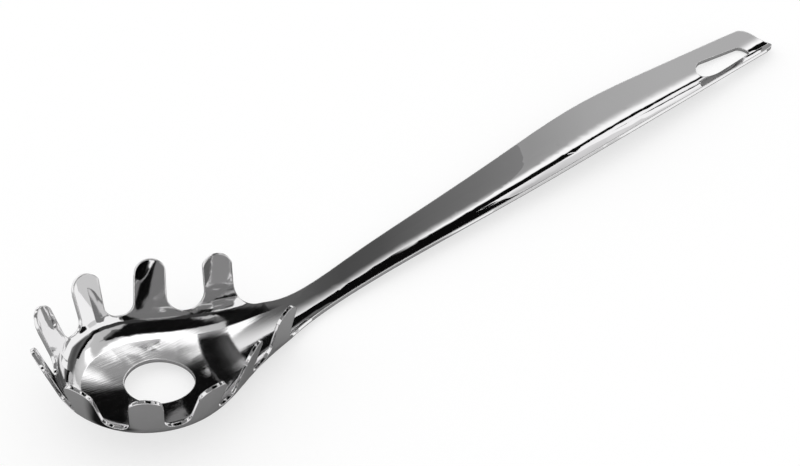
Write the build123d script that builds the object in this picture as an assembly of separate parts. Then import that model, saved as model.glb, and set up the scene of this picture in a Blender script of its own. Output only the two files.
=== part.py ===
from build123d import *
import math
import os

os.makedirs("parts", exist_ok=True)

# The server is one piece of pressed stainless sheet: a bowl with ten upright tines,
# a neck and a trough-shaped handle. Sizes are in millimetres, taken on the inside of the sheet.
# It is drawn with the bowl level, the centre of the portion hole at zero and the handle
# along +X, and is laid down on its heel and its handle end in the last step.

# Sheet
sheet_thickness = 1.2
overrun = 4.0

# Bowl
bowl_half_width = 28.0
bowl_rear_length = 51.0
bowl_set_back = 4.0
bowl_wall_lean = 22.5
bowl_floor_depth = 0.65
bowl_floor_radius = 90.0
bowl_foot_radius = 11.0
portion_hole_diameter = 21.4

# Tines and the gaps between them
tine_pitch = 36.0
tine_width = 9.6
tine_height = 22.1
gap_height = 6.4
gap_round_share = 0.47
last_gap_radius = 7.5
tip_round_share = 0.52

# Neck and heel, where the bowl runs into the handle
neck_rim_height = 3.35
heel_lift = 1.55

# Handle
handle_reach = 280.7
handle_rise = 29.0
grip_half_width = 11.8
grip_valley_radius = 11.5
grip_valley_turn = 25.0
grip_flank_radius = 110.0

# Hang hole, wide towards the bowl
hang_hole_length = 25.8
hang_hole_margin = 9.9
hang_hole_wide_radius = 4.9
hang_hole_narrow_radius = 3.1

# Rounds of turning until the server lies level on its heel and its handle end
turning_rounds = 8

# Rear half of the bowl: place behind its widest section, half width, lift of the floor,
# floor radius, foot radius and wall lean, as shares of the sizes of the widest section.
rear_shares = (
    (0.0, 1.0, 0.0, 1.0, 1.0, 1.0),
    (0.235, 0.905, 0.02, 0.94, 0.98, 0.9),
    (0.49, 0.69, 0.1, 0.67, 0.91, 0.75),
    (0.745, 0.51, 0.36, 0.4, 0.77, 0.62),
    (1.0, 0.378, 1.0, 0.235, 0.636, 0.6),
    (1.255, 0.275, 2.15, 0.19, 0.55, 0.6),
)

# Handle: place behind the neck as a share of the handle's length, then half width, rim height,
# valley radius, valley turn and flank radius as shares of the grip's half width, of the handle's
# rise and of the grip's own values.
handle_shares = (
    (0.032, 0.575, 0.112, 1.57, 0.6, 0.109),
    (0.066, 0.523, 0.146, 1.48, 0.56, 0.273),
    (0.144, 0.565, 0.262, 1.39, 0.6, 0.545),
    (0.273, 0.69, 0.417, 1.3, 0.7, 0.727),
    (0.446, 0.873, 0.618, 1.13, 0.86, 0.909),
    (0.611, 1.0, 0.82, 1.0, 1.0, 1.0),
    (0.749, 0.915, 0.906, 0.826, 1.1, 1.0),
    (0.878, 0.78, 0.964, 0.696, 1.16, 1.0),
    (0.958, 0.695, 0.997, 0.696, 1.12, 1.0),
    (1.048, 0.62, 1.031, 0.696, 1.08, 1.0),
)


def sized(table, *sizes):
    """Turns rows of shares into rows of sizes."""
    return [tuple(share * size for share, size in zip(row, sizes)) for row in table]


def bowl_curve(half_width, lift, floor_radius, foot_radius, lean):
    """Half of a section of the bowl: dished floor, rounded foot and leaning wall."""
    tilt = math.radians(lean)
    level = (half_width - foot_radius * math.cos(tilt)) / (1 - foot_radius / floor_radius)
    turn = math.asin(level / floor_radius)
    floor_top = lift - bowl_floor_depth + floor_radius
    foot_y = level - foot_radius * math.sin(turn)
    foot_z = floor_top - (floor_radius - foot_radius) * math.cos(turn)
    wall_y = foot_y + foot_radius * math.cos(tilt)
    wall_z = foot_z - foot_radius * math.sin(tilt)
    rise = wall_top - wall_z
    floor_arc = (0, floor_top, floor_radius, 0, turn)
    foot_arc = (foot_y, foot_z, foot_radius, turn, math.pi / 2 - tilt)
    wall_run = (wall_y, wall_z, wall_y + rise * math.tan(tilt), wall_top)
    return [floor_arc, foot_arc, wall_run]


def trough_curve(half_width, rim, valley_radius, turn, flank_radius):
    """Half of a section of the handle: rounded valley and nearly straight flank."""
    tilt = math.radians(turn)
    flank_y = (valley_radius - flank_radius) * math.sin(tilt)
    end = math.asin((half_width - flank_y) / flank_radius)
    flank_z = rim + flank_radius * math.cos(end)
    valley_z = flank_z + (valley_radius - flank_radius) * math.cos(tilt)
    return [(0, valley_z, valley_radius, 0, tilt), (flank_y, flank_z, flank_radius, tilt, end)]


def cut_at_rim(curve, rim):
    """Keeps a bowl curve up to the neck's rim, partway up its foot."""
    floor_arc, (y, z, radius, start, end) = curve[:2]
    return [floor_arc, (y, z, radius, start, math.acos((z - rim) / radius))]


def skin_points(piece, depth):
    """Points of an arc or a straight run, moved out through the sheet by a depth."""
    if len(piece) == 5:
        y, z, radius, start, end = piece
        turns = (start, (start + end) / 2, end)
        return [(y + (radius + depth) * math.sin(a), z - (radius + depth) * math.cos(a)) for a in turns]
    y, z, top_y, top_z = piece
    run = math.hypot(top_y - y, top_z - z)
    move_y = depth * (top_z - z) / run
    move_z = depth * (y - top_y) / run
    return [(y + move_y, z + move_z), (top_y + move_y, top_z + move_z)]


def sheet_section(place, curve):
    """One slice of sheet, square to X: the half curve, its mirror image and both rims."""

    def edge(points, side=1):
        spots = [(place, side * y, z) for y, z in points]
        return Line(*spots) if len(spots) == 2 else ThreePointArc(*spots)

    def skin(depth):
        half = [skin_points(piece, depth) for piece in curve]
        start, _, end = half[0]
        valley = ThreePointArc((place, -end[0], end[1]), (place, *start), (place, *end))
        return half, [valley] + [edge(points, side) for side in (-1, 1) for points in half[1:]]

    inside, inside_edges = skin(0)
    outside, outside_edges = skin(sheet_thickness)
    rims = [edge([inside[-1][-1], outside[-1][-1]], side) for side in (-1, 1)]
    return Wire(inside_edges + outside_edges + rims)


# Bowl, rear half: lofted from the widest section to the neck. A copy of the second section
# before the widest one makes the walls leave it square, in line with the front half.
wall_top = tine_height + overrun
widest_sizes = (bowl_half_width, heel_lift, bowl_floor_radius, bowl_foot_radius, bowl_wall_lean)
rear_rows = sized(rear_shares, bowl_rear_length, *widest_sizes)
rear_curves = [(row[0] - bowl_set_back, bowl_curve(*row[1:])) for row in rear_rows]
mirror_curve = (-rear_rows[1][0] - bowl_set_back, rear_curves[1][1])
rear = Solid.make_loft([sheet_section(*curve) for curve in [mirror_curve] + rear_curves])
neck_place = rear_curves[-2][0]
widest_plane = Plane.YZ.offset(-bowl_set_back)
neck_plane = Plane.YZ.offset(neck_place)
rear = rear.split(widest_plane, keep=Keep.TOP).split(neck_plane, keep=Keep.BOTTOM)

# Bowl, front half: half of the widest section, turned about the bowl's upright axis
bowl_axis = Axis((-bowl_set_back, 0, 0), (0, 0, 1))
half_height = 2 * wall_top
half_blank = widest_plane * Pos(half_height / 2, 0) * Rectangle(half_height, 2 * half_height)
widest_half = Face(sheet_section(*rear_curves[0])) & half_blank
bowl = revolve(widest_half, bowl_axis, 180) + rear

# Handle: lofted from the neck, where its rim continues the rim of the bowl, to past its end
grip_sizes = (grip_half_width, handle_rise, grip_valley_radius, grip_valley_turn, grip_flank_radius)
handle_rows = sized(handle_shares, handle_reach - neck_place, *grip_sizes)
handle_curves = [(place, cut_at_rim(curve, neck_rim_height)) for place, curve in rear_curves[-3:-1]]
neck_curve = handle_curves[-1][1]
handle_curves += [(neck_place + row[0], trough_curve(*row[1:])) for row in handle_rows]
handle = Solid.make_loft([sheet_section(*curve) for curve in handle_curves])
handle = handle.split(neck_plane, keep=Keep.TOP)

# Tip line: the inside of the bowl at the height of the tips, seen from above. Tines and gaps
# sit on it at one even pitch, round the front half and on along the rear half.
tip_line_points = []
for place, curve in rear_curves:
    wall_y, wall_z, top_y, top_z = curve[2]
    share_below_tips = (tine_height - wall_z) / (top_z - wall_z)
    tip_line_points.append(Vector(place, wall_y + share_below_tips * (top_y - wall_y)))
tip_radius = tip_line_points[0].Y
pitch_length = tip_radius * math.radians(tine_pitch)
tip_line = Spline(tip_line_points, tangents=[Vector(1), tip_line_points[-1] - tip_line_points[-2]])


def seat(steps):
    """Spot, facing and lean of the wall, a number of half pitches behind the widest section."""
    if steps <= 0:
        facing = math.radians(90 - steps * tine_pitch / 2)
        spot = (tip_radius * math.cos(facing) - bowl_set_back, tip_radius * math.sin(facing))
        return spot, facing, math.radians(bowl_wall_lean)
    share = steps * pitch_length / 2 / tip_line.length
    along = tip_line % share
    spot = tip_line @ share
    facing = math.atan2(along.X, -along.Y)
    behind = [row for row in rear_rows if row[0] - bowl_set_back <= spot.X][-1]
    lean = math.atan(math.tan(math.radians(behind[5])) * math.sin(facing))
    return (spot.X, spot.Y), facing, lean


def wall_plane(spot, facing, lean, height):
    """Plane in the wall: X along the wall, Y up the wall, Z square out of it."""
    out_x = math.cos(facing)
    out_y = math.sin(facing)
    square = (out_x * math.cos(lean), out_y * math.cos(lean), -math.sin(lean))
    return Plane(origin=(*spot, height), x_dir=(-out_y, out_x, 0), z_dir=square)


def gap_cutter(steps, height_share):
    """Gap between two tines: parallel to both of them, with a round foot and an open top."""
    spot, facing, lean = seat(steps)
    spread = (seat(steps - 1)[1] - seat(steps + 1)[1]) / 2 * math.sin(lean)
    depth = (tine_height - gap_height * height_share) / math.cos(lean)
    mouth = pitch_length - tine_width
    foot = mouth - 2 * depth * math.tan(spread)
    high = 2 * overrun
    top = mouth + 2 * high * math.tan(spread)
    outline = Polyline((-foot / 2, -depth), (foot / 2, -depth), (top / 2, high), (-top / 2, high), close=True)
    profile = make_face(outline.edges())
    profile = fillet(profile.vertices().group_by(Axis.Y)[0], gap_round_share * foot)
    return extrude(wall_plane(spot, facing, lean, tine_height) * profile, bowl_foot_radius, both=True)


def tip_cutter(steps, height_share):
    """What lies outside the round tip of a tine."""
    spot, facing, lean = seat(steps)
    radius = tine_width * tip_round_share
    high = 2 * overrun + radius
    block = Pos(0, high / 2 - radius) * Rectangle(pitch_length + overrun, high)
    profile = block - Pos(0, -radius) * Circle(radius)
    raised = Pos(0, tine_height * (height_share - 1) / math.cos(lean)) * profile
    return extrude(wall_plane(spot, facing, lean, tine_height) * raised, bowl_foot_radius, both=True)


def last_gap_cutter(steps):
    """Open gap from the last tine down to the rim of the neck."""
    spot, facing, _ = seat(steps)
    y, z, radius, _, end = neck_curve[-1]
    rim_spot = (neck_place, y + radius * math.sin(end))
    plane = wall_plane(rim_spot, facing, math.pi / 2 - end, neck_rim_height)
    reach = (rim_spot[0] - spot[0]) * math.sin(facing) - (rim_spot[1] - spot[1]) * math.cos(facing)
    side = reach - tine_width / 2
    high = 2 * wall_top
    outline = Polyline((-overrun, 0), (side, 0), (side, high), (-overrun, high), close=True)
    profile = make_face(outline.edges())
    corner = profile.vertices().sort_by(Axis.Y)[:2].sort_by(Axis.X)[-1]
    profile = fillet(corner, min(last_gap_radius, overrun + side / 2))
    return extrude(plane.offset(-wall_top / 2) * profile, wall_top / 2 + overrun)


# Tips and gap feet aren't quite level with each other: heights as shares, from the front
tip_shares = {-4: 1.0, -2: 1.0, 0: 1.0, 2: 1.055, 4: 1.0}
gap_shares = {-5: 0.88, -3: 1.0, -1: 1.17, 1: 1.1, 3: 0.85}
far_cutters = [tip_cutter(steps, share) for steps, share in tip_shares.items()]
far_cutters += [gap_cutter(steps, share) for steps, share in gap_shares.items()]
far_cutters.append(last_gap_cutter(max(tip_shares)))
near_cutters = [mirror(cutter, Plane.XZ) for cutter in far_cutters]
bowl -= far_cutters + near_cutters

# Full round end of the handle, as wide as the handle is where the round begins
end_radius = handle_rows[-2][1]
round_place = handle_reach - end_radius
waste = Pos(round_place + handle_reach / 2) * Rectangle(handle_reach, 2 * handle_reach)
waste -= Pos(round_place) * Circle(end_radius)
handle -= extrude(waste, 2 * handle_rise)

# Teardrop hang hole
wide_place = handle_reach - hang_hole_margin - hang_hole_length + hang_hole_wide_radius
narrow_place = handle_reach - hang_hole_margin - hang_hole_narrow_radius
wide_round = Pos(wide_place) * Circle(hang_hole_wide_radius)
narrow_round = Pos(narrow_place) * Circle(hang_hole_narrow_radius)
hang_hole = make_hull(wide_round.edges() + narrow_round.edges())
handle -= extrude(hang_hole, 2 * handle_rise)

# Round portion hole through the floor
server = bowl + handle
server -= Cylinder(portion_hole_diameter / 2, wall_top)

# Laid down: the server is turned until its heel and the end of its handle are equally low,
# then moved to stand on zero height with the middle of its outline at zero
middle_plane = Plane.YZ.offset(handle_reach / 2)
halves = [server.split(middle_plane, keep=side) for side in (Keep.BOTTOM, Keep.TOP)]
rest_turn = 0
for _ in range(turning_rounds):
    heel_low, end_low = [half.rotate(Axis.Y, rest_turn).bounding_box().min.Z for half in halves]
    rest_turn += math.degrees((end_low - heel_low) / handle_reach)
server = server.rotate(Axis.Y, rest_turn)
outline_box = server.bounding_box()
server.position -= (outline_box.center().X, 0, outline_box.min.Z)
server.label = "pasta_server"

print("volume", server.volume, "valid", server.is_valid, "solids", len(server.solids()))
print("turn", rest_turn, "hole centre", server.position)
export_step(server, "parts/pasta_server.step")
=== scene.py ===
import bpy
import math
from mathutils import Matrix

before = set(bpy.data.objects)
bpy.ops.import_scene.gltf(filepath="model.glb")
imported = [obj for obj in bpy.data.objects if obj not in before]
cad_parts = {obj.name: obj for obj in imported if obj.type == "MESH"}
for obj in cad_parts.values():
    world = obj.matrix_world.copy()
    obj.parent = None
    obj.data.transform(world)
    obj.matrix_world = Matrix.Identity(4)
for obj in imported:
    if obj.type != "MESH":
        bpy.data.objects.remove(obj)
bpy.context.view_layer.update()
scene = bpy.context.scene
scene.view_settings.view_transform = "Standard"
bpy.ops.object.select_all(action="DESELECT")
print("stage: frame loaded")


# Small helpers for the node trees

def addNode(tree, kind, inputs=None, **settings):
    # a node with its settings made, and each input given a value or a link
    node = tree.nodes.new(kind)
    for name, value in settings.items():
        setattr(node, name, value)
    for name, value in (inputs or {}).items():
        socket = node.inputs[name]
        if isinstance(value, bpy.types.NodeSocket):
            tree.links.new(value, socket)
        else:
            socket.default_value = value
    return node


def calc(tree, operation, *values):
    return addNode(tree, "ShaderNodeMath", dict(enumerate(values)), operation=operation).outputs[0]


def ramp(tree, value, start, end, low, high):
    # from low to high with a soft start and end
    places = {"Value": value, "From Min": start, "From Max": end, "To Min": low, "To Max": high}
    return addNode(tree, "ShaderNodeMapRange", places, interpolation_type="SMOOTHSTEP").outputs["Result"]


def blend(tree, share, first, second):
    return addNode(tree, "ShaderNodeMix", {0: share, 2: first, 3: second}, data_type="FLOAT").outputs[0]


def readOff(tree, value, points):
    # the level at a place, read off a line through (place, level) points
    start = points[0][0]
    end = points[-1][0]
    share = addNode(tree, "ShaderNodeMapRange", {"Value": value, "From Min": start, "From Max": end})
    node = addNode(tree, "ShaderNodeFloatCurve", {"Value": share.outputs["Result"]})
    line = node.mapping.curves[0].points
    while len(line) < len(points):
        line.new(0.5, 0.5)
    for dot, (place, level) in zip(line, points):
        dot.location = ((place - start) / (end - start), level)
        dot.handle_type = "VECTOR"
    node.mapping.update()
    return node.outputs[0]


def softSpot(tree, across, along, halfAcross, halfAlong, soft):
    # 1 inside a rectangle round zero, 0 outside, with soft sides
    shares = []
    for distance, half in ((across, halfAcross), (along, halfAlong)):
        size = calc(tree, "ABSOLUTE", distance)
        shares.append(ramp(tree, size, half - soft, half + soft, 1.0, 0.0))
    return calc(tree, "MULTIPLY", *shares)


def farness(tree, place, halfLength, halfWidth):
    # 0 in the middle, 1 on an oval round it, and more outside
    shares = (1 / halfLength, 1 / halfWidth, 0)
    scaled = addNode(tree, "ShaderNodeVectorMath", {0: place, 1: shares}, operation="MULTIPLY").outputs[0]
    return addNode(tree, "ShaderNodeVectorMath", {0: scaled}, operation="LENGTH").outputs["Value"]


def newTree(owner):
    owner.use_nodes = True
    owner.node_tree.nodes.clear()
    return owner.node_tree


# What the steel sees at the height of the horizon. Directions and half sizes are in degrees,
# levels run from 0, black, to 1, white. The camera and the floor see plain white.
horizon = {
    "open": 0.95,
    "panels": (
        # compass direction, height, half width, half height, softness, level
        (47, 12, 7, 17, 3, 0.003),
        (58, 8, 9, 15, 3, 0.003),
        (-114, 0, 6, 14, 1.5, 0.002),
        (-98, -4, 8, 9, 1.5, 0.1),
        (-99, 20, 8, 14, 1.5, 0.17),
        (-90, 28, 4, 8, 1.5, 0.004),
        (-68, 0, 15, 12, 2, 0.62),
        (125, 18, 12, 12, 2, 0.27),
    ),
}


def buildHorizon(values):
    world = bpy.data.worlds.new("studio")
    scene.world = world
    tree = newTree(world)
    direction = addNode(tree, "ShaderNodeTexCoord").outputs["Generated"]
    x, y, z = addNode(tree, "ShaderNodeSeparateXYZ", {0: direction}).outputs
    height = calc(tree, "DEGREES", calc(tree, "ARCSINE", z))
    turn = calc(tree, "DEGREES", calc(tree, "ARCTAN2", y, x))
    level = values["open"]
    for heading, lift, wide, tall, soft, panelLevel in values["panels"]:
        across = calc(tree, "WRAP", calc(tree, "SUBTRACT", turn, heading), 180.0, -180.0)
        up = calc(tree, "SUBTRACT", height, lift)
        share = softSpot(tree, across, up, wide, tall, soft)
        level = blend(tree, share, level, panelLevel)
    glossy = addNode(tree, "ShaderNodeLightPath").outputs["Is Glossy Ray"]
    shown = blend(tree, glossy, 1.0, level)
    background = addNode(tree, "ShaderNodeBackground", {"Color": shown})
    addNode(tree, "ShaderNodeOutputWorld", {"Surface": background.outputs[0]})


buildHorizon(horizon)
print("stage: horizon built")


# Cards hung level over the server, which only its reflections see. Places are in metres.
# "levels" are (x, level) points along a card. Past "lightLine", of (x, y) points, a card turns
# light, and past "darkLine" dark. "spots" lie on it: centre, half sizes, turn, softness, level.
overheadCards = {
    "bowl card": {
        "centre": (-0.062, -0.0188, 0.058),
        "size": (0.077, 0.028),
        "turn": 74,
        "levels": ((-0.10, 0.11), (0.0, 0.11)),
        "spots": (((-0.0707, -0.0164), (0.045, 0.010), 74, 0.004, 0.003),),
    },
    "neck card": {
        "centre": (0.010, 0.0165, 0.060),
        "size": (0.124, 0.123),
        "turn": 0,
        "levels": ((-0.052, 0.13), (-0.035, 0.085), (-0.023, 0.072), (0.0, 0.085), (0.027, 0.135),
                   (0.05, 0.17), (0.072, 0.22)),
        "light": 0.85,
        "lightLine": ((-0.052, 0.044), (-0.035, 0.056), (-0.02, 0.063), (0.072, 0.063)),
        "lightReach": (0.022, 0.018),
        "spots": (),
    },
    "low roof": {
        "centre": (0.186, 0.12, 0.15),
        "size": (0.628, 0.66),
        "turn": 0,
        "levels": ((-0.128, 0.45), (0.012, 0.55), (0.02, 0.7), (0.06, 0.6), (0.105, 0.45),
                   (0.118, 0.31), (0.135, 0.31), (0.18, 0.40), (0.25, 0.45), (0.50, 0.45)),
        "light": 1.05,
        "lightLine": ((-0.128, 0.45), (0.04, 0.45), (0.06, 0.25), (0.09, 0.205), (0.14, 0.20),
                      (0.155, 0.165), (0.17, 0.13), (0.20, 0.10), (0.24, 0.078), (0.33, 0.06),
                      (0.50, 0.06)),
        "lightReach": (0.075, 0.06),
        "darkLine": ((-0.128, 0.13), (-0.06, 0.135), (0.01, 0.15), (0.03, 0.153), (0.065, 0.17),
                     (0.095, 0.19), (0.12, 0.225), (0.145, 0.262), (0.20, 0.285), (0.28, 0.262),
                     (0.33, 0.225), (0.42, 0.19), (0.50, 0.18)),
        "darkReach": (0.03, 0.014),
        "dark": 0.003,
        "spots": (
            ((-0.052, 0.122), (0.052, 0.06), -30, 0.008, 0.30),
            ((-0.040, 0.052), (0.046, 0.011), 59, 0.006, 1.3),
            ((0.008, 0.106), (0.038, 0.008), 66, 0.006, 1.3),
            ((0.010, 0.045), (0.014, 0.058), 12, 0.007, 1.2),
            ((-0.053, -0.052), (0.040, 0.011), 65.7, 0.005, 0.13),
            ((-0.108, -0.069), (0.085, 0.040), 65.7, 0.006, 0.003),
            ((-0.050, -0.175), (0.080, 0.045), 0, 0.008, 0.04),
        ),
    },
    "high roof": {
        "centre": (-0.27, 0, 0.30),
        "size": (0.30, 0.80),
        "turn": 0,
        "levels": ((-0.42, 0.20), (-0.12, 0.20)),
        "spots": (
            ((-0.292, 0.222), (0.016, 0.014), 0, 0.003, 0.66),
            ((-0.180, 0.230), (0.020, 0.080), 0, 0.004, 0.003),
        ),
    },
}


def buildCard(name, values):
    cardTurn = (0, 0, math.radians(values["turn"]))
    bpy.ops.mesh.primitive_plane_add(size=1, location=values["centre"], rotation=cardTurn)
    card = bpy.context.object
    card.name = name.replace(" ", "_")
    card.scale = (*values["size"], 1)
    bpy.ops.object.transform_apply(location=True, rotation=True, scale=True)
    material = bpy.data.materials.new(name)
    tree = newTree(material)
    place = addNode(tree, "ShaderNodeTexCoord").outputs["Object"]
    x, y, _ = addNode(tree, "ShaderNodeSeparateXYZ", {0: place}).outputs
    level = readOff(tree, x, values["levels"])
    if "light" in values:
        before, after = values["lightReach"]
        past = calc(tree, "SUBTRACT", y, readOff(tree, x, values["lightLine"]))
        level = blend(tree, ramp(tree, past, -before, after, 0.0, 1.0), level, values["light"])
    for centre, halves, turn, soft, spotLevel in values["spots"]:
        spot = {"Vector": place, "Location": (*centre, 0), "Rotation": (0, 0, math.radians(turn))}
        local = addNode(tree, "ShaderNodeMapping", spot, vector_type="TEXTURE").outputs[0]
        across, along, _ = addNode(tree, "ShaderNodeSeparateXYZ", {0: local}).outputs
        level = blend(tree, softSpot(tree, across, along, *halves, soft), level, spotLevel)
    if "darkLine" in values:
        before, after = values["darkReach"]
        past = calc(tree, "SUBTRACT", y, readOff(tree, x, values["darkLine"]))
        level = blend(tree, ramp(tree, past, -before, after, 0.0, 1.0), level, values["dark"])
    glow = addNode(tree, "ShaderNodeEmission", {"Color": level})
    addNode(tree, "ShaderNodeOutputMaterial", {"Surface": glow.outputs[0]})
    card.data.materials.append(material)
    card.visible_camera = False
    card.visible_diffuse = False
    card.visible_transmission = False
    card.visible_shadow = False


for cardName, cardValues in overheadCards.items():
    bpy.ops.object.select_all(action="DESELECT")
    buildCard(cardName, cardValues)
print("stage: overhead cards hung")


# Camera at the photograph's angle
view = {
    "place": (-0.33741, -0.37168, 0.39306),
    "turn": (51.601, 1.880, -41.478),
    "lens": 84.63,
    "nearest": 0.01,
}
cameraData = bpy.data.cameras.new("camera")
cameraData.lens = view["lens"]
cameraData.clip_start = view["nearest"]
camera = bpy.data.objects.new("camera", cameraData)
camera.location = view["place"]
camera.rotation_euler = [math.radians(angle) for angle in view["turn"]]
scene.collection.objects.link(camera)
scene.camera = camera


# Pale floor. It keeps the server's shadow. To the steel it looks darker close below the server, which is
# painted shade, and it has patches of painted shade.
floorValues = {
    "size": 6.0,
    "drop": 0.0002,
    "shadow kept": 0.35,
    # painted shade: the floor's tone close to the server, as only the steel's reflections see it
    "painted shade near": 0.27,
    "mirrored far": 0.95,
    "near half length": 0.19,
    "near half width": 0.07,
    "near fade": (0.9, 2.0),
    # patches of painted shade on the floor, seen only in the steel's reflections
    # centre, half sizes, softness, level
    "painted shade spots": (
        ((-0.156, -0.010), (0.009, 0.009), 0.003, 0.01),
        ((-0.105, -0.185), (0.035, 0.135), 0.008, 0.11),
    ),
}


def buildFloor(values):
    bpy.ops.mesh.primitive_plane_add(size=values["size"], location=(0, 0, -values["drop"]))
    floor = bpy.context.object
    floor.name = "floor"
    material = bpy.data.materials.new("pale floor")
    tree = newTree(material)
    lightPath = addNode(tree, "ShaderNodeLightPath")
    place = addNode(tree, "ShaderNodeTexCoord").outputs["Object"]
    # Painted shade in the floor's tone that only reflections see: darker close round and under the
    # server, and darker in the patches
    away = farness(tree, place, values["near half length"], values["near half width"])
    mirrored = ramp(tree, away, *values["near fade"], values["painted shade near"], values["mirrored far"])
    x, y, _ = addNode(tree, "ShaderNodeSeparateXYZ", {0: place}).outputs
    for centre, halves, soft, level in values["painted shade spots"]:
        across = calc(tree, "SUBTRACT", x, centre[0])
        along = calc(tree, "SUBTRACT", y, centre[1])
        mirrored = blend(tree, softSpot(tree, across, along, *halves, soft), mirrored, level)
    tone = blend(tree, lightPath.outputs["Is Glossy Ray"], 1.0, mirrored)
    matt = addNode(tree, "ShaderNodeBsdfDiffuse", {"Color": tone})
    white = addNode(tree, "ShaderNodeEmission", {"Color": (1, 1, 1, 1)})
    clear = calc(tree, "MULTIPLY", lightPath.outputs["Is Camera Ray"], 1 - values["shadow kept"])
    both = addNode(tree, "ShaderNodeMixShader", {0: clear, 1: matt.outputs[0], 2: white.outputs[0]})
    addNode(tree, "ShaderNodeOutputMaterial", {"Surface": both.outputs[0]})
    floor.data.materials.append(material)


bpy.ops.object.select_all(action="DESELECT")
buildFloor(floorValues)
print("stage: floor laid")


# Polished stainless steel with a satin bowl floor, brushed along the handle
steelValues = {
    "tint": (0.9, 0.895, 0.9, 1),
    "polish": 0.022,
    "satin": 0.055,
    "roughness spread": (0.6, 1.5),
    "edge round": 0.0005,
    "edge haze": 0.24,
    "edge reach": (0.9, 0.995),
    "bowl centre": (-0.1234, 0, 0.0054),
    "bowl turn": 6.2,
    "satin centre": (0.010, 0, 0),
    "satin half length": 0.041,
    "satin half width": 0.0245,
    "satin fade": (0.9, 1.1),
    "brush length": 0.012,
    "brush width": 0.0005,
    "brush contrast": (0.35, 0.65),
    "brush strength": 0.5,
    "brush depth": 0.00002,
    "haze length": 0.03,
    "haze width": 0.0002,
    "haze contrast": (0.4, 0.62),
    "waves a metre": 90.0,
    "wave strength": 0.2,
    "wave depth": 0.00002,
}


def buildStreaks():
    # fine lines along X: long thin noise, for haze in the roughness and for a trace of relief
    group = bpy.data.node_groups.new("fine streaks", "ShaderNodeTree")
    group.interface.new_socket(name="Place", in_out="INPUT", socket_type="NodeSocketVector")
    for name in ("Length", "Width"):
        group.interface.new_socket(name=name, in_out="INPUT", socket_type="NodeSocketFloat")
    group.interface.new_socket(name="Streak", in_out="OUTPUT", socket_type="NodeSocketFloat")
    given = group.nodes.new("NodeGroupInput").outputs
    along = calc(group, "DIVIDE", 1.0, given["Length"])
    across = calc(group, "DIVIDE", 1.0, given["Width"])
    scale = addNode(group, "ShaderNodeCombineXYZ", {"X": along, "Y": across, "Z": along})
    both = {0: given["Place"], 1: scale.outputs[0]}
    stretched = addNode(group, "ShaderNodeVectorMath", both, operation="MULTIPLY").outputs[0]
    grain = {"Vector": stretched, "Scale": 1.0, "Detail": 3.0, "Roughness": 0.6}
    noise = addNode(group, "ShaderNodeTexNoise", grain)
    out = group.nodes.new("NodeGroupOutput")
    group.links.new(noise.outputs[0], out.inputs["Streak"])
    return group


def addStreaks(tree, group, place, length, width):
    node = addNode(tree, "ShaderNodeGroup", node_tree=group)
    tree.links.new(place, node.inputs["Place"])
    node.inputs["Length"].default_value = length
    node.inputs["Width"].default_value = width
    return node.outputs[0]


def buildSteel(values):
    material = bpy.data.materials.new("polished steel")
    material.use_nodes = True
    tree = material.node_tree
    shader = tree.nodes["Principled BSDF"]
    shader.inputs["Metallic"].default_value = 1.0
    shader.inputs["Base Color"].default_value = values["tint"]
    place = addNode(tree, "ShaderNodeTexCoord").outputs["Object"]
    bowlFrame = {"Vector": place, "Location": values["bowl centre"]}
    bowlFrame["Rotation"] = (0, math.radians(values["bowl turn"]), 0)
    inBowl = addNode(tree, "ShaderNodeMapping", bowlFrame, vector_type="TEXTURE").outputs[0]

    # an oval of satin on the bowl floor
    toCentre = {0: inBowl, 1: values["satin centre"]}
    fromCentre = addNode(tree, "ShaderNodeVectorMath", toCentre, operation="SUBTRACT").outputs[0]
    away = farness(tree, fromCentre, values["satin half length"], values["satin half width"])
    satinShare = ramp(tree, away, *values["satin fade"], 1.0, 0.0)

    # roughness: streaks in the satin, a trace of haze in the polish, and duller cut edges
    streaks = buildStreaks()
    brush = addStreaks(tree, streaks, inBowl, values["brush length"], values["brush width"])
    haze = addStreaks(tree, streaks, inBowl, values["haze length"], values["haze width"])
    least, most = values["roughness spread"]
    satin = ramp(tree, brush, *values["brush contrast"], values["satin"] * least, values["satin"] * most)
    polish = ramp(tree, haze, *values["haze contrast"], values["polish"] * least, values["polish"] * most)
    rounded = addNode(tree, "ShaderNodeBevel", {"Radius": values["edge round"]}, samples=12).outputs[0]
    flat = addNode(tree, "ShaderNodeNewGeometry").outputs["Normal"]
    normals = {0: rounded, 1: flat}
    likeness = addNode(tree, "ShaderNodeVectorMath", normals, operation="DOT_PRODUCT").outputs["Value"]
    edgeShare = ramp(tree, likeness, *values["edge reach"], 1.0, 0.0)
    surface = blend(tree, satinShare, polish, satin)
    roughness = blend(tree, edgeShare, surface, values["edge haze"])
    tree.links.new(roughness, shader.inputs["Roughness"])

    # relief: slight waves all over, and brush marks in the satin
    ripple = {"Vector": place, "Scale": values["waves a metre"], "Detail": 1.0}
    wave = addNode(tree, "ShaderNodeTexNoise", ripple).outputs[0]
    waves = {"Height": wave, "Strength": values["wave strength"], "Distance": values["wave depth"]}
    waves["Normal"] = rounded
    gentle = addNode(tree, "ShaderNodeBump", waves).outputs[0]
    relief = calc(tree, "MULTIPLY", brush, satinShare)
    marks = {"Height": relief, "Strength": values["brush strength"], "Distance": values["brush depth"]}
    marks["Normal"] = gentle
    brushed = addNode(tree, "ShaderNodeBump", marks).outputs[0]
    tree.links.new(brushed, shader.inputs["Normal"])
    return material


steel = buildSteel(steelValues)
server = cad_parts["pasta_server"]
server.data.materials.clear()
server.data.materials.append(steel)
print("stage: steel polished")
